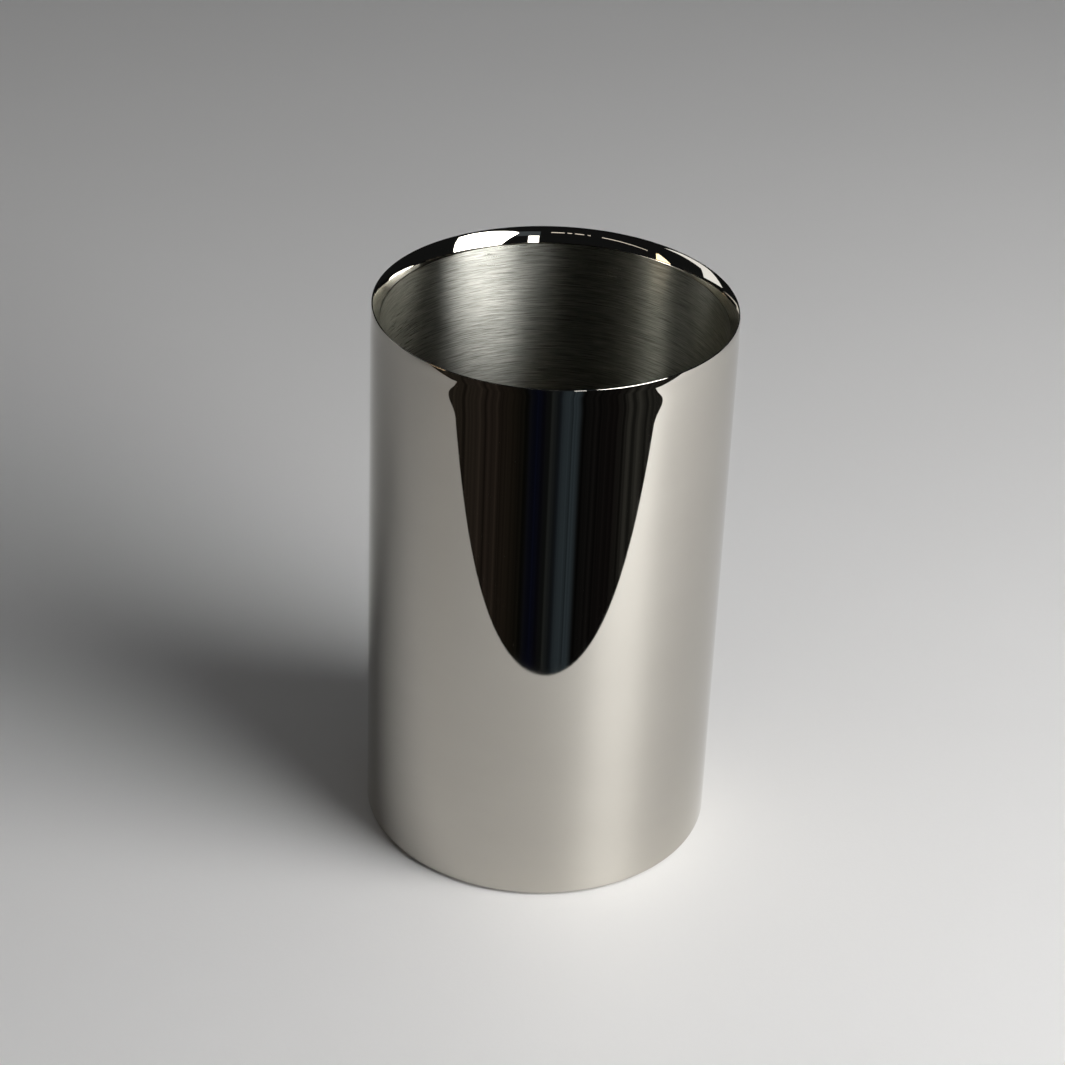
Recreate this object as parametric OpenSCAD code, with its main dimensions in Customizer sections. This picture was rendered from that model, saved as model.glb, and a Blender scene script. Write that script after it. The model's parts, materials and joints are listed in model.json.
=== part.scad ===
// Double-walled bottle cooler.
// A polished steel tube holds a brushed steel cup, which hangs in it from a turned rim.
// The narrow air gap between the two walls is closed, so a chilled bottle stays cold.
// The origin is on the table under the centre, and +Z is up. All sizes are in millimetres.

/* [Body] */
// Outside diameter of the shell
outer_d = 120; // [110:1:140]
// Height from the table to the crest of the rim
height = 195; // [160:1:260]
// Distance from the outside of the shell to the inside of the cup
wall = 3.2; // [3:0.1:4]
// Sheet thickness of the shell
shell_t = 0.8; // [0.6:0.1:1]
// Sheet thickness of the cup
liner_t = 0.7; // [0.5:0.1:0.8]

/* [Rim] */
// Height of the turned rim on the outside
rim_h = 4.5; // [4:0.5:8]
// Height of the lip's curve on the inside
lip_h = 5.2; // [4:0.1:5.5]
// Slope of the lip where it nears the cup's edge, in degrees
lip_slope = 75; // [72:1:78]
// Radius that eases the lip into the cup's edge
edge_round = 1; // [0.4:0.1:1.5]
// Height over which the outside draws in to the crest
crest_h = 2.4; // [2:0.1:3]
// How far the outside leans in where the crest starts, in degrees
crest_lean = 10; // [6:1:15]
// Radius of the crest
crest_round = 0.25; // [0.2:0.05:0.4]
// Length of the skirt that the rim pushes into the shell
skirt_h = 5; // [3:0.5:8]
// Depth of the shallow waist that polishing leaves where rim and shell meet
waist_depth = 0.18; // [0.1:0.02:0.3]
// Height over which the shell draws in to the waist
waist_run = 11; // [8:1:16]

/* [Cup] */
// Height of the cup's floor above the table
floor_z = 12; // [11:1:20]
// Inside radius of the corner between the cup's wall and floor
floor_corner = 8; // [4:1:12]

/* [Base] */
// Outside radius of the bend at the foot of the shell
foot_bend = 1.5; // [1.2:0.1:2]
// Inside radius of the flange that is turned in under the shell
flange_r = 54; // [50:0.5:54]
// How far the foot ring stands below the steel
foot_proud = 0.5; // [0.3:0.1:1]
// Radial width of the foot ring
foot_w = 11; // [8:0.5:12]
// Sheet thickness of the base plate
plate_t = 0.8; // [0.6:0.1:1]
// Height by which the middle of the base plate is pressed up
plate_rise = 2; // [1:0.1:3]
// Radius of the vent hole in the base plate
vent_r = 2; // [1.5:0.1:3]

/* [Hidden] */
$fn = 180;

arc_steps = 14;                          // straight steps in each rounded stretch of an outline
waist_skew = 1.6;                        // above 1, the shell draws in faster near the waist
flare_angle = 1.3;                       // how steeply the rim comes back out above the waist
outer_r = outer_d / 2;
shell_in_r = outer_r - shell_t;
bore_r = outer_r - wall;                 // inside of the cup
liner_out_r = bore_r + liner_t;
shell_top = height - rim_h;

lip_step = 0.1;                          // the cup's edge stands this far inside the lip
lip_r = bore_r + lip_step;
lip_land = 0.3;                          // straight strip between the lip's curve and the cup's edge
liner_top = height - lip_h - lip_land;
waist_r = outer_r - waist_depth;

liner_under = floor_z - liner_t;
liner_corner = floor_corner + liner_t;

plate_z = foot_proud + shell_t;          // the plate lies on the turned-in flange
plate_top = plate_z + plate_t;
plate_r = shell_in_r - (foot_bend - shell_t) - 0.1;
raised_r = 39.5;                         // flat middle of the base plate
raised_foot_r = 41.5;                    // where its slope starts
raised_z = plate_z + plate_rise;

foot_gap = 0.5;                          // between the foot ring and the flange
foot_out_r = flange_r - foot_gap;
groove_w = 1.2;
groove_depth = 0.4;
groove_count = 3;

support_in_r = 44;
support_top = 22;
support_play = 0.2;                      // lets the support ring slide into the shell
disc_r = 42;
disc_hole_r = 5;

plug_head_r = 4.5;
plug_head_h = 1;
plug_barb_r = 2.7;
plug_barb_h = 1.3;
plug_tip_r = 1.4;

// Points along an arc about [x, z], from angle a to angle b.
function arc(x, z, r, a, b) =
    [for (i = [0:arc_steps]) let (t = a + (b - a) * i / arc_steps) [x + r * cos(t), z + r * sin(t)]];

// Points along a smooth S from [x0, z0] to [x1, z1], upright at both ends.
function s_curve(x0, z0, x1, z1, skew) =
    [for (i = [0:arc_steps]) let (t = i / arc_steps)
        [x0 + (x1 - x0) * (1 - cos(180 * pow(t, skew))) / 2, z0 + (z1 - z0) * t]];

// Tube with its foot turned in under it and its top drawn in a little by polishing.
module outer_shell() {
    bend_x = outer_r - foot_bend;
    bend_z = foot_proud + foot_bend;
    color("gainsboro")
    rotate_extrude()
    polygon(concat(
        [[flange_r, foot_proud]],
        arc(bend_x, bend_z, foot_bend, -90, 0),
        s_curve(outer_r, shell_top - waist_run, waist_r, shell_top, waist_skew),
        [[shell_in_r, shell_top]],
        arc(bend_x, bend_z, foot_bend - shell_t, 0, -90),
        [[flange_r, plate_z]]
    ));
}

// Turned ring: it flares out of the waist, then leans in to a rounded crest, and a convex lip
// runs from there down to the cup.
module rim_ring() {
    flare_arc_r = (rim_h - crest_h) / sin(flare_angle);
    flare_r = waist_r + flare_arc_r * (1 - cos(flare_angle));
    lean_rise = crest_h - crest_round * (1 - sin(crest_lean));
    lean_arc_r = lean_rise / sin(crest_lean);
    crest = [flare_r - lean_arc_r * (1 - cos(crest_lean)) - crest_round * cos(crest_lean),
             height - crest_round];

    // The lip is one arc: it touches the crest's round, and reaches the edge's round at lip_slope.
    edge = [lip_r + edge_round * (1 - sin(lip_slope)),
            height - lip_h + edge_round * cos(lip_slope)];
    outward = [sin(lip_slope), -cos(lip_slope)];
    drop = edge - crest;
    lip_arc_r = (drop * drop - crest_round ^ 2) / (-2 * (drop * outward + crest_round));
    centre = edge + lip_arc_r * outward;
    lip_start = atan2(crest[1] - centre[1], crest[0] - centre[0]);

    color("silver")
    rotate_extrude()
    polygon(concat(
        [[liner_out_r, shell_top - skirt_h], [shell_in_r, shell_top - skirt_h],
         [shell_in_r, shell_top]],
        arc(waist_r + flare_arc_r, shell_top, flare_arc_r, 180, 180 - flare_angle),
        arc(flare_r - lean_arc_r, height - crest_h, lean_arc_r, 0, crest_lean),
        arc(crest[0], crest[1], crest_round, crest_lean, lip_start),
        arc(centre[0], centre[1], lip_arc_r, lip_start, 90 + lip_slope),
        arc(lip_r + edge_round, height - lip_h, edge_round, 90 + lip_slope, 180),
        [[lip_r, liner_top], [liner_out_r, liner_top]]
    ));
}

// Deep-drawn cup with a rounded corner at its floor.
module inner_liner() {
    color("darkgray")
    rotate_extrude()
    polygon(concat(
        [[0, liner_under]],
        arc(bore_r - floor_corner, floor_z + floor_corner, liner_corner, -90, 0),
        [[liner_out_r, liner_top], [bore_r, liner_top]],
        arc(bore_r - floor_corner, floor_z + floor_corner, floor_corner, 0, -90),
        [[0, floor_z]]
    ));
}

// Moulded ring that carries the cup's corner and centres it in the shell.
module support_ring() {
    color("dimgray")
    rotate_extrude()
    polygon(concat(
        [[support_in_r, plate_top], [shell_in_r - support_play, plate_top],
         [shell_in_r - support_play, support_top], [liner_out_r, support_top]],
        arc(bore_r - floor_corner, floor_z + floor_corner, liner_corner, 0, -90),
        [[support_in_r, liner_under]]
    ));
}

// Disc between the cup's floor and the base plate, with a hole over the vent.
module insulation_disc() {
    disc_z = raised_z + plate_t;
    color("ivory")
    translate([0, 0, disc_z])
    difference() {
        cylinder(h = liner_under - disc_z, r = disc_r);
        translate([0, 0, -1])
        cylinder(h = liner_under - disc_z + 2, r = disc_hole_r);
    }
}

// Pressed disc with a raised middle and a vent hole.
module base_plate() {
    color("lightgray")
    rotate_extrude()
    polygon([
        [vent_r, raised_z], [raised_r, raised_z], [raised_foot_r, plate_z], [plate_r, plate_z],
        [plate_r, plate_top], [raised_foot_r, plate_top], [raised_r, raised_z + plate_t],
        [vent_r, raised_z + plate_t]
    ]);
}

// Push-in plug: a head below the plate, a shank in the hole and a barb above it.
module vent_plug() {
    barb_z = raised_z + plate_t;
    color("black")
    union() {
        translate([0, 0, raised_z - plug_head_h])
        cylinder(h = plug_head_h, r = plug_head_r);
        translate([0, 0, raised_z])
        cylinder(h = plate_t, r = vent_r);
        translate([0, 0, barb_z])
        cylinder(h = plug_barb_h, r1 = plug_barb_r, r2 = plug_tip_r);
    }
}

// Flat rubber ring with grooves in its underside.
module foot_ring() {
    groove_pitch = foot_w / (groove_count + 1);
    color("black")
    difference() {
        cylinder(h = plate_z, r = foot_out_r);
        translate([0, 0, -1])
        cylinder(h = plate_z + 2, r = foot_out_r - foot_w);
        for (i = [1:groove_count]) {
            groove_r = foot_out_r - i * groove_pitch;
            translate([0, 0, -1])
            difference() {
                cylinder(h = groove_depth + 1, r = groove_r + groove_w / 2);
                translate([0, 0, -1])
                cylinder(h = groove_depth + 3, r = groove_r - groove_w / 2);
            }
        }
    }
}

outer_shell();
rim_ring();
inner_liner();
support_ring();
insulation_disc();
base_plate();
vent_plug();
foot_ring();
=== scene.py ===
"""Looks of a double-walled bottle cooler: polished tube, turned rim and brushed cup.

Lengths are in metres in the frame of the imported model: the origin is on the table under the
centre, +Z is up, and the camera stands on the -Y side. Angles are in degrees.
"""

import json
import math

import bpy
from mathutils import Matrix, Vector


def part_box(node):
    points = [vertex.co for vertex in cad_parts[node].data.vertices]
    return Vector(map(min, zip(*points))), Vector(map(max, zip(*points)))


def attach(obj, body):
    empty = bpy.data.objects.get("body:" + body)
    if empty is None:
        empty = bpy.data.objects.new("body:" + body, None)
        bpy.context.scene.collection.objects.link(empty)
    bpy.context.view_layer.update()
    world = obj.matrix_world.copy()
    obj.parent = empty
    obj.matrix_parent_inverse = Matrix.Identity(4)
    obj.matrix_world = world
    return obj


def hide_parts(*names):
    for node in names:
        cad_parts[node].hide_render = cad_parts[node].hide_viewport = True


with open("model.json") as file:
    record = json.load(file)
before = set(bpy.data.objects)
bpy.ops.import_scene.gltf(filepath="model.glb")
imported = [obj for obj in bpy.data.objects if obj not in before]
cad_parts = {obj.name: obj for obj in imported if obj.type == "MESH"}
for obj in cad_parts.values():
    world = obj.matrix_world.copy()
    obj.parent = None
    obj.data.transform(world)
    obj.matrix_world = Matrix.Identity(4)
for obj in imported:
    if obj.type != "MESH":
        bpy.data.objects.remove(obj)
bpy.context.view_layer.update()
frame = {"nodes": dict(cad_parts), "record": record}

MM = 0.001
SEGMENTS = 512                # steps round the axis in each turned piece
ARC_STEPS = 20                # steps in each rounded stretch of an outline
GUARD = 0.25 * MM             # rings this far from the ends of a straight stretch keep it flat
SHARP_ANGLE = 28              # corners above this stay crisp
ON_AXIS = 1e-9                # a point with a smaller radius is on the axis

# Driving sizes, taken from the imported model.
SHELL_LOW, SHELL_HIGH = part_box("outer_shell")
RIM_LOW, RIM_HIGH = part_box("rim_ring")
PLATE_LOW, PLATE_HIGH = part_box("base_plate")
FOOT_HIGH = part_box("foot_ring")[1]
LINER_LOW, LINER_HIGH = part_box("inner_liner")
PLUG_LOW, PLUG_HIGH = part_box("vent_plug")
WELL = next(m for m in frame["record"]["mounts"] if m["name"] == "bottle_well")

OUTER_R = SHELL_HIGH.x
HEIGHT = RIM_HIGH.z
SHELL_TOP = SHELL_HIGH.z
BORE_R = WELL["dims"]["r_mm"] * MM
LINER_OUT_R = LINER_HIGH.x
LINER_TOP = LINER_HIGH.z
STEEL_FOOT = SHELL_LOW.z      # underside of the turned-in flange

# Sizes that no box gives, the same as in the part's source.
SHELL_T = 0.8 * MM
SKIRT_H = SHELL_TOP - RIM_LOW.z
WAIST_DEPTH = 0.18 * MM
WAIST_RUN = 11 * MM
WAIST_SKEW = 1.6              # above 1, the shell draws in faster near the waist
FLARE_ANGLE = 1.3
LIP_H = 5.2 * MM
LIP_SLOPE = 75                # where the lip nears the cup's edge
LIP_STEP = 0.1 * MM
EDGE_ROUND = 1 * MM
CREST_H = 2.4 * MM
CREST_LEAN = 10
CREST_ROUND = 0.25 * MM
FOOT_BEND = 1.5 * MM
FLANGE_R = 54 * MM
FLOOR_CORNER = 8 * MM
RAISED_R = 39.5 * MM
RAISED_FOOT_R = 41.5 * MM
PLATE_T = 0.8 * MM
VENT_R = 2 * MM
BARB_R = 2.7 * MM
BARB_TIP_R = 1.4 * MM
PLUG_EASE = 0.4 * MM
FOOT_W = 11 * MM
FOOT_EASE = 0.25 * MM
GROOVE_W = 1.2 * MM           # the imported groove's width: the half round drawn here is narrower
GROOVE_DEPTH = 0.4 * MM       # also the radius of that half round
GROOVE_COUNT = 3

# What the steel mirrors. Directions of cards are (azimuth, elevation) as seen from the rim.
GLINT_DISTANCE = 8.0
CEILING_LINE = [(-60, -29), (-21.5, -19.5), (-17, -11), (-9, -6), (-4, 5)]     # azimuths
CEILING_SLOPES = (0.585, 0.625)         # rise over run of the line's lower and upper edge

# The dim room: a dark card over the table, from where the mirrored table ends.
TABLE_END = -0.19466          # Y of the card's near edge, straight ahead
TABLE_TILT = 0.0411           # how much nearer the edge comes for each metre to the right
CARD_LIFT = 0.3 * MM
MIRROR_FOCUS = 0.52           # share of the tube's radius at which sight lines gather
ROOM_SPREAD = 1.2             # radians to each side that the streaks reach
ROOM_LEFT = (0.026, 0.022, 0.017)
ROOM_RIGHT = (0.020, 0.020, 0.018)

# Share of the way from left to right, and the colour there.
ROOM_STREAKS = [(0.22, (0.022, 0.017, 0.014)), (0.32, (0.015, 0.012, 0.009)),
                (0.39, (0.005, 0.005, 0.004)), (0.44, (0.004, 0.005, 0.013)),
                (0.47, (0.004, 0.004, 0.006)), (0.50, (0.016, 0.018, 0.018)),
                (0.54, (0.007, 0.009, 0.012)), (0.56, (0.036, 0.049, 0.060)),
                (0.61, (0.032, 0.044, 0.054)), (0.64, (0.006, 0.006, 0.006)),
                (0.79, (0.007, 0.006, 0.006)), (0.88, (0.030, 0.030, 0.027))]


# ---------------------------------------------------------------- outlines and turned meshes

def arc(x, z, radius, start, end, steps=ARC_STEPS):
    """Points along an arc about (x, z), from angle start to angle end."""
    turns = [math.radians(start + (end - start) * i / steps) for i in range(steps + 1)]
    return [(x + radius * math.cos(t), z + radius * math.sin(t)) for t in turns]


def s_curve(x0, z0, x1, z1, skew, steps=3 * ARC_STEPS):
    """Points along a smooth S from (x0, z0) to (x1, z1), upright at both ends."""
    points = []
    for i in range(steps + 1):
        share = i / steps
        across = (1 - math.cos(math.pi * share ** skew)) / 2
        points.append((x0 + (x1 - x0) * across, z0 + (z1 - z0) * share))
    return points


def guarded(outline):
    """The outline with a point near each end of every long straight stretch."""
    points = []
    for start, end in zip(outline, outline[1:] + outline[:1]):
        points.append(start)
        length = math.dist(start, end)
        if length > 4 * GUARD:
            for share in (GUARD / length, 1 - GUARD / length):
                points.append(tuple(a + (b - a) * share for a, b in zip(start, end)))
    return points


def turned(name, outline, material, slot, *nodes):
    """Piece made by turning a closed outline of (radius, height) points round the Z axis."""
    points = guarded(outline)
    vertices = []
    rings = []
    for radius, height in points:
        first = len(vertices)
        if radius < ON_AXIS:
            vertices.append((0, 0, height))
            rings.append([first] * SEGMENTS)
            continue
        for i in range(SEGMENTS):
            turn = math.tau * i / SEGMENTS
            vertices.append((radius * math.cos(turn), radius * math.sin(turn), height))
        rings.append(list(range(first, first + SEGMENTS)))
    faces = []
    for low, high in zip(rings, rings[1:] + rings[:1]):
        for i in range(SEGMENTS):
            j = (i + 1) % SEGMENTS
            corners = list(dict.fromkeys([low[i], low[j], high[j], high[i]]))
            if len(corners) > 2:
                faces.append(corners)
    mesh = bpy.data.meshes.new(name)
    mesh.from_pydata(vertices, [], faces)
    mesh.polygons.foreach_set("use_smooth", [True] * len(faces))
    mesh.set_sharp_from_angle(angle=math.radians(SHARP_ANGLE))
    mesh.materials.append(material)
    piece = bpy.data.objects.new(name, mesh)
    bpy.context.scene.collection.objects.link(piece)
    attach(piece, "root")
    if nodes:
        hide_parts(*nodes)
    return piece


# ---------------------------------------------------------------- materials

class Graph:
    """A new material's node tree, with short calls for the nodes used here."""

    def __init__(self, name):
        self.material = bpy.data.materials.new(name)
        self.material.use_nodes = True
        self.tree = self.material.node_tree
        self.shader = self.tree.nodes["Principled BSDF"]
        self.place = self.node("ShaderNodeTexCoord", {}).outputs["Object"]

    def node(self, kind, inputs, **settings):
        made = self.tree.nodes.new(kind)
        for key, value in settings.items():
            setattr(made, key, value)
        for key, value in inputs.items():
            self.put(made.inputs[key], value)
        return made

    def put(self, socket, value):
        if isinstance(value, bpy.types.NodeSocket):
            self.tree.links.new(value, socket)
        else:
            socket.default_value = value

    def stretched(self, round_scale, up_scale, place=None):
        """Coordinates with one scale across and another along the Z axis."""
        scale = (round_scale, round_scale, up_scale)
        mapped = self.node("ShaderNodeMapping", {"Vector": place or self.place, "Scale": scale})
        return mapped.outputs["Vector"]

    def noise(self, vector, detail=2.0, rough=0.5):
        made = self.node("ShaderNodeTexNoise", {
            "Vector": vector, "Scale": 1.0, "Detail": detail, "Roughness": rough})
        return made.outputs["Fac"]

    def math(self, operation, a, b=0.0):
        made = self.node("ShaderNodeMath", {0: a, 1: b}, operation=operation)
        return made.outputs[0]

    def ranged(self, value, low, high, to_low, to_high):
        """Value from the range low..high mapped to to_low..to_high, clamped."""
        made = self.node("ShaderNodeMapRange", {
            "Value": value, "From Min": low, "From Max": high, "To Min": to_low, "To Max": to_high})
        return made.outputs["Result"]

    def blended(self, share, a, b):
        """Colour between a and b by share."""
        made = self.node("ShaderNodeMix", {"Factor": share}, data_type="RGBA")
        self.put(made.inputs[6], a)
        self.put(made.inputs[7], b)
        return made.outputs[2]

    def bump(self, height, distance, under=None):
        made = self.node("ShaderNodeBump", {
            "Height": height, "Distance": distance, "Strength": 1.0})
        if under is not None:
            self.put(made.inputs["Normal"], under)
        return made.outputs["Normal"]

    def finish(self, **inputs):
        for key, value in inputs.items():
            self.put(self.shader.inputs[key.replace("_", " ")], value)
        return self.material


def wavering(graph, per_metre, reach):
    """Coordinates whose height wanders by up to reach, so that lines round the axis cross a little."""
    wave = graph.noise(graph.stretched(per_metre, per_metre), detail=1.0)
    lift = graph.math("MULTIPLY", graph.math("SUBTRACT", wave, 0.5), 2 * reach)
    offset = graph.node("ShaderNodeCombineXYZ", {"Z": lift}).outputs["Vector"]
    moved = graph.node("ShaderNodeVectorMath", {0: graph.place, 1: offset}, operation="ADD")
    return moved.outputs["Vector"]


def follow_outline(graph):
    """Makes the height run on along flat faces, so that lines stay round the axis there too."""
    parts = graph.node("ShaderNodeSeparateXYZ", {"Vector": graph.place}).outputs
    squares = [graph.math("MULTIPLY", parts[axis], parts[axis]) for axis in ("X", "Y")]
    radius = graph.math("SQRT", graph.math("ADD", *squares))
    along = graph.math("SUBTRACT", parts["Z"], radius)
    joined = graph.node("ShaderNodeCombineXYZ", {"X": parts["X"], "Y": parts["Y"], "Z": along})
    graph.place = joined.outputs["Vector"]


def polished_steel():
    """Mirror-polished steel with the fine lines that a turning polish leaves round the axis."""
    g = Graph("polished_steel")
    follow_outline(g)
    lines = g.noise(g.stretched(40, 3200, wavering(g, 18, 0.4 * MM)), detail=3.0, rough=0.6)
    swells = g.noise(g.stretched(9, 14), detail=1.0)
    haze = g.noise(g.stretched(25, 60), detail=3.0)
    tone = g.blended(haze, (0.485, 0.462, 0.418, 1), (0.515, 0.492, 0.446, 1))
    rough = g.ranged(g.math("ADD", lines, haze), 0.7, 1.3, 0.012, 0.034)
    gentle = g.bump(swells, 4e-6)
    normal = g.bump(lines, 4e-7, under=gentle)
    tangent = g.node("ShaderNodeTangent", {}, direction_type="RADIAL", axis="Z").outputs[0]
    return g.finish(Base_Color=tone, Metallic=1.0, Roughness=rough, Normal=normal,
                    Anisotropic=0.5, Anisotropic_Rotation=0.25, Tangent=tangent)


def brushed_steel():
    """Steel brushed round the axis: short crossing strokes that spread light up and down."""
    g = Graph("brushed_steel")
    follow_outline(g)
    rising = g.noise(g.stretched(120, 3900, wavering(g, 26, 1.6 * MM)), detail=3.0, rough=0.6)
    falling = g.noise(g.stretched(95, 3300, wavering(g, 17, 3.0 * MM)), detail=3.0, rough=0.6)
    strokes = g.math("MAXIMUM", rising, falling)
    long_lines = g.noise(g.stretched(30, 1300, wavering(g, 11, 2.5 * MM)), detail=2.0)
    patches = g.noise(g.stretched(30, 45), detail=3.0)
    tone = g.blended(g.ranged(strokes, 0.4, 0.7, 0.0, 1.0),
                     (0.25, 0.247, 0.213, 1), (0.62, 0.617, 0.56, 1))
    rough = g.ranged(g.math("ADD", rising, patches), 0.7, 1.3, 0.27, 0.34)
    coarse = g.bump(long_lines, 2e-5)
    normal = g.bump(strokes, 8e-5, under=coarse)
    tangent = g.node("ShaderNodeTangent", {}, direction_type="RADIAL", axis="Z").outputs[0]
    return g.finish(Base_Color=tone, Metallic=1.0, Roughness=rough, Normal=normal,
                    Anisotropic=1.0, Anisotropic_Rotation=0.25, Tangent=tangent)


def base_steel():
    """Plain pressed sheet: soft rolling lines across it and a matt, slightly stained surface."""
    g = Graph("base_steel")
    rolled = g.node("ShaderNodeMapping", {"Vector": g.place, "Scale": (2200, 60, 60)}).outputs[0]
    lines = g.noise(rolled, detail=3.0, rough=0.6)
    stains = g.noise(g.stretched(55, 55), detail=4.0)
    tone = g.blended(stains, (0.50, 0.49, 0.47, 1), (0.63, 0.62, 0.60, 1))
    rough = g.ranged(g.math("ADD", lines, stains), 0.7, 1.3, 0.28, 0.42)
    return g.finish(Base_Color=tone, Metallic=1.0, Roughness=rough,
                    Normal=g.bump(lines, 3e-6), Anisotropic=0.5)


def moulded(name, dark, light, rough_low, rough_high, grain_per_metre, grain_height):
    """Moulded plastic or rubber with a fine spark-eroded grain and a faint bloom."""
    g = Graph(name)
    grain = g.noise(g.stretched(grain_per_metre, grain_per_metre), detail=3.0)
    bloom = g.noise(g.stretched(35, 35), detail=4.0)
    tone = g.blended(g.ranged(bloom, 0.35, 0.7, 0.0, 1.0), dark, light)
    rough = g.ranged(g.math("ADD", grain, bloom), 0.7, 1.3, rough_low, rough_high)
    return g.finish(Base_Color=tone, Roughness=rough, Normal=g.bump(grain, grain_height))


def foam():
    """Closed-cell foam: fine rounded cells with darker walls."""
    g = Graph("foam")
    cells = g.node("ShaderNodeTexVoronoi", {"Vector": g.place, "Scale": 900.0}).outputs["Distance"]
    stains = g.noise(g.stretched(40, 40), detail=3.0)
    pale = g.blended(stains, (0.74, 0.71, 0.63, 1), (0.83, 0.81, 0.75, 1))
    tone = g.blended(g.ranged(cells, 0.0, 0.8, 0.0, 1.0), pale, (0.60, 0.57, 0.49, 1))
    return g.finish(Base_Color=tone, Roughness=g.ranged(stains, 0.3, 0.7, 0.82, 0.95),
                    Normal=g.bump(cells, 0.15 * MM))


# ---------------------------------------------------------------- pieces of the cooler

def shell_piece(material):
    """Straight polished tube, its foot turned in under it and its top drawn in to the rim."""
    inside_r = OUTER_R - SHELL_T
    bend_x = OUTER_R - FOOT_BEND
    bend_z = STEEL_FOOT + FOOT_BEND
    outline = [(FLANGE_R, STEEL_FOOT)]
    outline += arc(bend_x, bend_z, FOOT_BEND, -90, 0)
    waist_r = OUTER_R - WAIST_DEPTH
    outline += s_curve(OUTER_R, SHELL_TOP - WAIST_RUN, waist_r, SHELL_TOP, WAIST_SKEW)
    outline += [(inside_r, SHELL_TOP)]
    outline += arc(bend_x, bend_z, FOOT_BEND - SHELL_T, 0, -90)
    outline += [(FLANGE_R, STEEL_FOOT + SHELL_T)]
    return turned("polished_tube", outline, material, "polished_steel", "outer_shell")


def rim_piece(material):
    """Turned rim: it flares out, leans in to a crest, then curves down to the cup's edge."""
    waist_r = OUTER_R - WAIST_DEPTH
    inside_r = OUTER_R - SHELL_T
    lip_r = BORE_R + LIP_STEP
    flare = math.radians(FLARE_ANGLE)
    lean = math.radians(CREST_LEAN)
    slope = math.radians(LIP_SLOPE)
    flare_arc_r = (HEIGHT - CREST_H - SHELL_TOP) / math.sin(flare)
    flare_r = waist_r + flare_arc_r * (1 - math.cos(flare))
    lean_arc_r = (CREST_H - CREST_ROUND * (1 - math.sin(lean))) / math.sin(lean)
    crest_x = flare_r - lean_arc_r * (1 - math.cos(lean)) - CREST_ROUND * math.cos(lean)
    crest_z = HEIGHT - CREST_ROUND

    # The lip is one arc: it touches the crest's round, and reaches the edge's round at the slope.
    edge_x = lip_r + EDGE_ROUND * (1 - math.sin(slope))
    edge_z = HEIGHT - LIP_H + EDGE_ROUND * math.cos(slope)
    run = edge_x - crest_x
    drop = edge_z - crest_z
    towards = run * math.sin(slope) - drop * math.cos(slope)
    lip_arc_r = (run ** 2 + drop ** 2 - CREST_ROUND ** 2) / (-2 * (towards + CREST_ROUND))
    centre_x = edge_x + lip_arc_r * math.sin(slope)
    centre_z = edge_z - lip_arc_r * math.cos(slope)
    lip_start = math.degrees(math.atan2(crest_z - centre_z, crest_x - centre_x))

    outline = [(LINER_OUT_R, SHELL_TOP - SKIRT_H), (inside_r, SHELL_TOP - SKIRT_H)]
    outline += [(inside_r, SHELL_TOP)]
    outline += arc(waist_r + flare_arc_r, SHELL_TOP, flare_arc_r, 180, 180 - FLARE_ANGLE)
    outline += arc(flare_r - lean_arc_r, HEIGHT - CREST_H, lean_arc_r, 0, CREST_LEAN)[1:]
    outline += arc(crest_x, crest_z, CREST_ROUND, CREST_LEAN, lip_start)[1:]
    outline += arc(centre_x, centre_z, lip_arc_r, lip_start, 90 + LIP_SLOPE)[1:]
    outline += arc(lip_r + EDGE_ROUND, HEIGHT - LIP_H, EDGE_ROUND, 90 + LIP_SLOPE, 180)[1:]
    outline += [(lip_r, LINER_TOP), (LINER_OUT_R, LINER_TOP)]
    return turned("turned_rim", outline, material, "polished_steel", "rim_ring")


def cup_piece(material):
    """Brushed cup with a rounded corner between its wall and its floor."""
    sheet = LINER_OUT_R - BORE_R
    floor_z = LINER_LOW.z + sheet
    corner_r = BORE_R - FLOOR_CORNER
    corner_z = floor_z + FLOOR_CORNER
    outline = [(0, LINER_LOW.z)]
    outline += arc(corner_r, corner_z, FLOOR_CORNER + sheet, -90, 0)
    outline += [(LINER_OUT_R, LINER_TOP), (BORE_R, LINER_TOP)]
    outline += arc(corner_r, corner_z, FLOOR_CORNER, 0, -90)
    outline += [(0, floor_z)]
    return turned("brushed_cup", outline, material, "brushed_steel", "inner_liner")


def plate_piece(material):
    """Pressed base plate with a raised middle and a vent hole."""
    outline = [(VENT_R, PLATE_HIGH.z - PLATE_T), (RAISED_R, PLATE_HIGH.z - PLATE_T)]
    outline += [(RAISED_FOOT_R, PLATE_LOW.z), (PLATE_HIGH.x, PLATE_LOW.z)]
    outline += [(PLATE_HIGH.x, PLATE_LOW.z + PLATE_T), (RAISED_FOOT_R, PLATE_LOW.z + PLATE_T)]
    outline += [(RAISED_R, PLATE_HIGH.z), (VENT_R, PLATE_HIGH.z)]
    return turned("pressed_base", outline, material, "base_steel", "base_plate")


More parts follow.
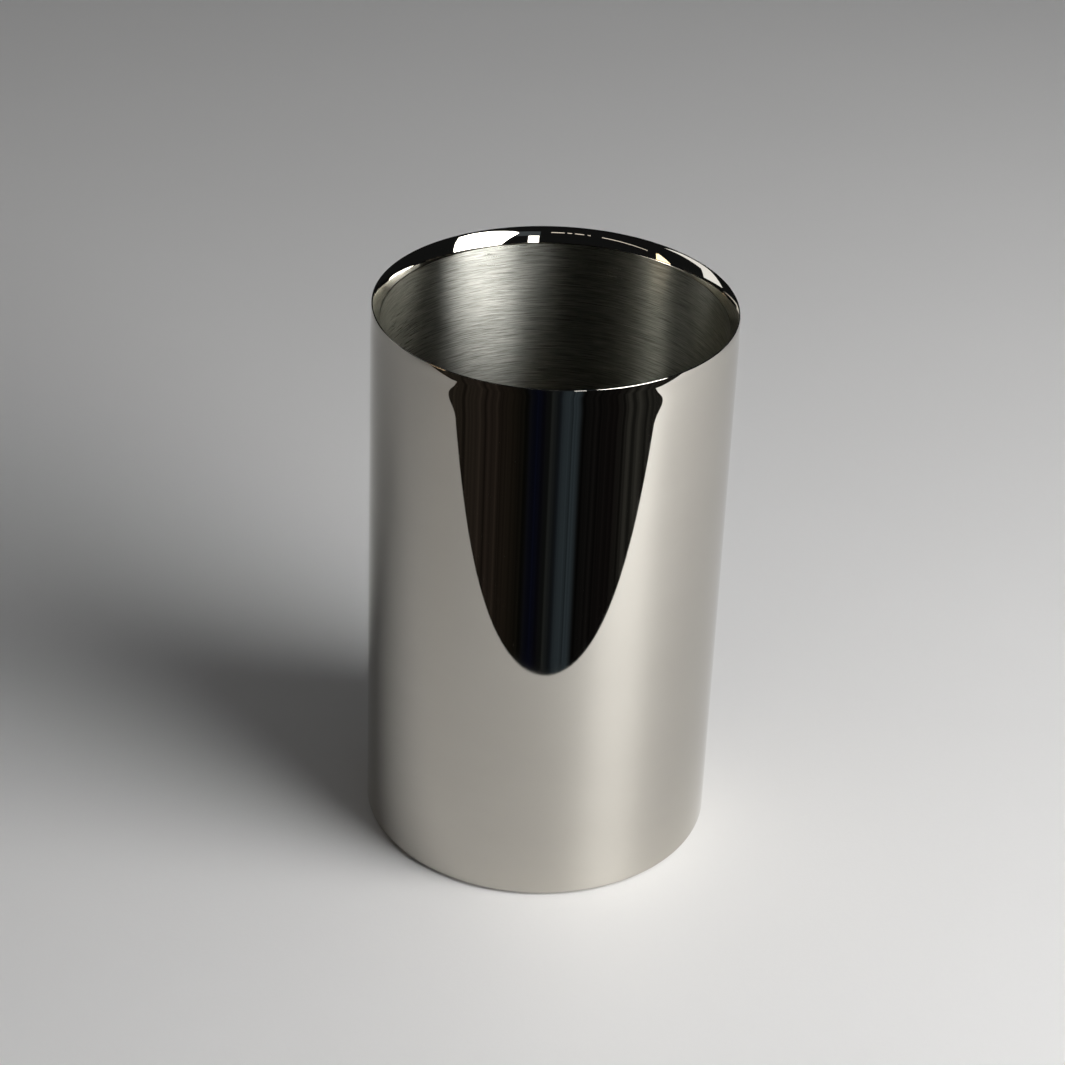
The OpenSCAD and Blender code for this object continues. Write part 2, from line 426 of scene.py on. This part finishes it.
def foot_piece(material):
    """Non-slip ring with three rounded grooves in its underside and eased edges."""
    inner_r = FOOT_HIGH.x - FOOT_W
    pitch = (FOOT_HIGH.x - inner_r) / (GROOVE_COUNT + 1)
    outline = arc(inner_r + FOOT_EASE, FOOT_EASE, FOOT_EASE, -180, -90, 6)
    for i in range(GROOVE_COUNT, 0, -1):
        groove_r = FOOT_HIGH.x - i * pitch
        outline += [(groove_r - GROOVE_W / 2, 0)]
        outline += arc(groove_r, 0, GROOVE_DEPTH, 180, 0, 12)
        outline += [(groove_r + GROOVE_W / 2, 0)]
    outline += arc(FOOT_HIGH.x - FOOT_EASE, FOOT_EASE, FOOT_EASE, -90, 0, 6)
    outline += [(FOOT_HIGH.x, FOOT_HIGH.z), (inner_r, FOOT_HIGH.z)]
    return turned("grooved_foot", outline, material, "foot_rubber", "foot_ring")


def plug_piece(material):
    """Push-in vent plug: a head with a rounded edge, a shank and a barb above the plate."""
    head_r = PLUG_HIGH.x
    head_top = PLATE_HIGH.z - PLATE_T
    outline = [(0, PLUG_LOW.z), (head_r - 2 * PLUG_EASE, PLUG_LOW.z)]
    outline += arc(head_r - PLUG_EASE, PLUG_LOW.z + PLUG_EASE, PLUG_EASE, -90, 0, 8)
    outline += [(head_r, head_top), (VENT_R, head_top), (VENT_R, PLATE_HIGH.z)]
    outline += [(BARB_R, PLATE_HIGH.z), (BARB_TIP_R, PLUG_HIGH.z), (0, PLUG_HIGH.z)]
    return turned("vent_stopper", outline, material, "plug_rubber", "vent_plug")


def dress(node, material):
    """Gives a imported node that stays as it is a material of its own."""
    mesh = frame["nodes"][node].data
    mesh.materials.clear()
    mesh.materials.append(material)


# ---------------------------------------------------------------- floor, lights and camera

def toward(azimuth, elevation=0.0):
    """Direction from the origin. Azimuth 0 points at -Y, and 90 at +X."""
    turn = math.radians(azimuth)
    rise = math.radians(elevation)
    return Vector((math.sin(turn) * math.cos(rise), -math.cos(turn) * math.cos(rise), math.sin(rise)))


def stage_mesh(name, vertices, faces, material):
    mesh = bpy.data.meshes.new(name)
    mesh.from_pydata(vertices, [], faces)
    mesh.materials.append(material)
    thing = bpy.data.objects.new(name, mesh)
    bpy.context.scene.collection.objects.link(thing)
    return thing


def add_floor():
    """Large pale table, satin enough to give a little sheen towards the window."""
    g = Graph("pale_table")
    mottle = g.noise(g.stretched(6, 6), detail=3.0)
    tone = g.blended(mottle, (0.735, 0.73, 0.725, 1), (0.765, 0.76, 0.755, 1))
    grain = g.noise(g.stretched(700, 700), detail=2.0)
    material = g.finish(Base_Color=tone, Roughness=0.5, Specular_IOR_Level=0.5,
                        Normal=g.bump(grain, 0.02 * MM))
    half = 6.0
    corners = [(-half, -half, 0), (half, -half, 0), (half, half, 0), (-half, half, 0)]
    stage_mesh("floor", corners, [(0, 1, 2, 3)], material)


def glow(name, colour, strength):
    """Plain emitting material for cards."""
    return Graph(name).finish(Base_Color=(0, 0, 0, 1), Roughness=1.0, Specular_IOR_Level=0.0,
                              Emission_Color=(*colour, 1), Emission_Strength=strength)


def hide_from_camera(thing):
    """Leaves a card to be seen only in reflections."""
    thing.visible_camera = False
    thing.visible_diffuse = False
    thing.visible_shadow = False


def add_dark_room():
    """Dark card seen only in reflections: beyond its near edge the mirror shows a dim room."""
    g = Graph("dark_room")
    # A round mirror gathers sight lines about half a radius inside it, so streaks run from there.
    offset = (0, MIRROR_FOCUS * OUTER_R, 0)
    focus = g.node("ShaderNodeVectorMath", {0: g.place, 1: offset}, operation="ADD")
    parts = g.node("ShaderNodeSeparateXYZ", {"Vector": focus.outputs["Vector"]})
    ahead = g.math("MULTIPLY", parts.outputs["Y"], -1.0)
    slant = g.math("ARCTAN2", parts.outputs["X"], ahead)
    ramp = g.node("ShaderNodeValToRGB", {
        "Fac": g.ranged(slant, -ROOM_SPREAD, ROOM_SPREAD, 0.0, 1.0)})
    stops = ramp.color_ramp.elements
    stops[0].position = 0.0
    stops[0].color = (*ROOM_LEFT, 1)
    stops[1].position = 1.0
    stops[1].color = (*ROOM_RIGHT, 1)
    for position, colour in ROOM_STREAKS:
        stops.new(position).color = (*colour, 1)
    fine = g.node("ShaderNodeTexNoise", {"W": slant, "Scale": 16.0, "Detail": 3.0},
                  noise_dimensions="1D").outputs["Fac"]
    g.finish(Base_Color=(0, 0, 0, 1), Roughness=1.0, Specular_IOR_Level=0.0,
             Emission_Color=ramp.outputs["Color"],
             Emission_Strength=g.ranged(fine, 0.3, 0.7, 0.45, 1.5))
    half = 3.0
    corners = [(-half, TABLE_END - TABLE_TILT * half, CARD_LIFT), (-half, -2 * half, CARD_LIFT)]
    corners += [(half, -2 * half, CARD_LIFT), (half, TABLE_END + TABLE_TILT * half, CARD_LIFT)]
    hide_from_camera(stage_mesh("dark_room", corners, [(0, 1, 2, 3)], g.material))


def softbox(name, azimuth, distance, low, high, width, radiance):
    """Upright rectangular light that faces the axis of the cooler. It is not seen in the steel."""
    data = bpy.data.lights.new(name, "AREA")
    data.shape = "RECTANGLE"
    data.size = width
    data.size_y = high - low
    # Cycles takes a quarter of an area light's power per area as its radiance.
    data.energy = 4 * radiance * width * (high - low)
    lamp = bpy.data.objects.new(name, data)
    lamp.location = toward(azimuth) * distance + Vector((0, 0, (low + high) / 2))
    lamp.rotation_euler = (-toward(azimuth)).to_track_quat("-Z", "Z").to_euler()
    lamp.visible_camera = False
    lamp.visible_glossy = False
    bpy.context.scene.collection.objects.link(lamp)


def glint(name, directions, radiance, colour=(1, 1, 1)):
    """Far bright card with its corners at (azimuth, elevation) directions from the rim."""
    centre = Vector((0, 0, HEIGHT))
    corners = [centre + toward(*direction) * GLINT_DISTANCE for direction in directions]
    face = tuple(range(len(corners)))
    hide_from_camera(stage_mesh(name, corners, [face], glow(name, colour, radiance)))


def panel(left, right, low, high):
    """Corners of an upright card between two azimuths and two elevations."""
    return [(left, low), (right, low), (right, high), (left, high)]


def level_line(azimuth, slope):
    """Elevation at an azimuth of a level line that runs along X in front of the cooler."""
    return math.degrees(math.atan(slope * math.cos(math.radians(azimuth))))


def add_lights():
    """Soft light from the window's side, and a weak wide light from above."""
    softbox("window", azimuth=62.1, distance=1.05, low=0.146, high=1.17, width=0.749, radiance=8.8)
    fill = bpy.data.lights.new("ceiling", "AREA")
    fill.shape = "DISK"
    fill.size = 5.0
    fill.energy = 15.0
    above = bpy.data.objects.new("ceiling", fill)
    above.location = (0, 0, 3.0)
    above.visible_camera = False
    above.visible_glossy = False
    bpy.context.scene.collection.objects.link(above)


def add_glints():
    """What the rim and the cup mirror: the window, and the room's lamps round to the far left."""
    pane = [(70, -5), (70, 32), (60, 36), (45, 37), (31, 34), (26, 31), (40, -5)]
    rear_lamp = [(-126, 4), (-106, 4), (-103, 16), (-85, 27), (-75, 31), (-90, 31), (-108, 22)]
    glint("window_pane", pane, 17.0)
    glint("bright_slot", panel(12.5, 19.5, -2, 22), 6.0)
    glint("slot_haze", panel(12, 30, 22, 33), 0.12, (0.75, 0.87, 1.0))
    glint("warm_lamp", [(-81, -3), (-66, -3), (-66, 15), (-68, 16)], 4.0, (1.0, 0.74, 0.48))
    glint("left_rear", rear_lamp, 1.5)
    low, high = CEILING_SLOPES
    for i, (left, right) in enumerate(CEILING_LINE):
        turns = [(left, low), (right, low), (right, high), (left, high)]
        corners = [(azimuth, level_line(azimuth, slope)) for azimuth, slope in turns]
        glint(f"ceiling_line_{i}", corners, 1.6, (1.0, 0.92, 0.84))


def add_backdrop():
    """Pale wall and ceiling all round the table, seen only by the camera in low side views."""
    steps = 48
    radius = 5.5
    top = 5.5
    ring = [toward(360 * i / steps) * radius for i in range(steps)]
    vertices = [point + Vector((0, 0, z)) for z in (0, top) for point in ring]
    vertices.append(Vector((0, 0, top)))
    faces = [(i, (i + 1) % steps, steps + (i + 1) % steps, steps + i) for i in range(steps)]
    faces += [(steps + i, steps + (i + 1) % steps, 2 * steps) for i in range(steps)]
    wall = stage_mesh("studio_backdrop", vertices, faces, glow("pale_wall", (0.95, 0.97, 1.0), 0.30))
    wall.visible_diffuse = False
    wall.visible_glossy = False
    wall.visible_shadow = False


def add_world():
    """Very dim bluish surroundings."""
    world = bpy.data.worlds.new("dim_room")
    world.use_nodes = True
    background = world.node_tree.nodes["Background"]
    background.inputs["Color"].default_value = (0.9, 0.95, 1.0, 1)
    background.inputs["Strength"].default_value = 0.012
    bpy.context.scene.world = world


def add_camera():
    """Camera at the photograph's viewing angle, with its slight roll."""
    place = Vector((-4.56, -813.0, 595.9)) * MM
    pitch = math.radians(30.95)
    roll = math.radians(2.36)
    across = Vector((1, 0, 0))
    up = Vector((0, math.sin(pitch), math.cos(pitch)))
    right = across * math.cos(roll) + up * math.sin(roll)
    top = up * math.cos(roll) - across * math.sin(roll)
    back = right.cross(top)
    data = bpy.data.cameras.new("camera")
    data.lens = 94.42
    data.sensor_width = 36.0
    data.clip_start = 0.01
    data.clip_end = 50.0
    camera = bpy.data.objects.new("camera", data)
    camera.matrix_world = Matrix.Translation(place) @ Matrix((right, top, back)).transposed().to_4x4()
    bpy.context.scene.collection.objects.link(camera)
    bpy.context.scene.camera = camera


# ---------------------------------------------------------------- the scene

add_camera()
add_world()
add_lights()
add_glints()
add_floor()
add_backdrop()
add_dark_room()

mirror = polished_steel()
shell_piece(mirror)
rim_piece(mirror)
cup_piece(brushed_steel())
plate_piece(base_steel())
foot_piece(moulded("foot_rubber", (0.022, 0.022, 0.024, 1), (0.05, 0.05, 0.05, 1),
                   0.55, 0.75, 2600, 0.03 * MM))
plug_piece(moulded("plug_rubber", (0.03, 0.03, 0.034, 1), (0.07, 0.07, 0.075, 1),
                   0.45, 0.65, 3200, 0.02 * MM))
dress("support_ring", moulded("moulded_support", (0.09, 0.09, 0.10, 1), (0.15, 0.15, 0.16, 1),
                              0.5, 0.7, 1800, 0.04 * MM))
dress("insulation_disc", foam())

bpy.context.scene.view_settings.view_transform = "Standard"
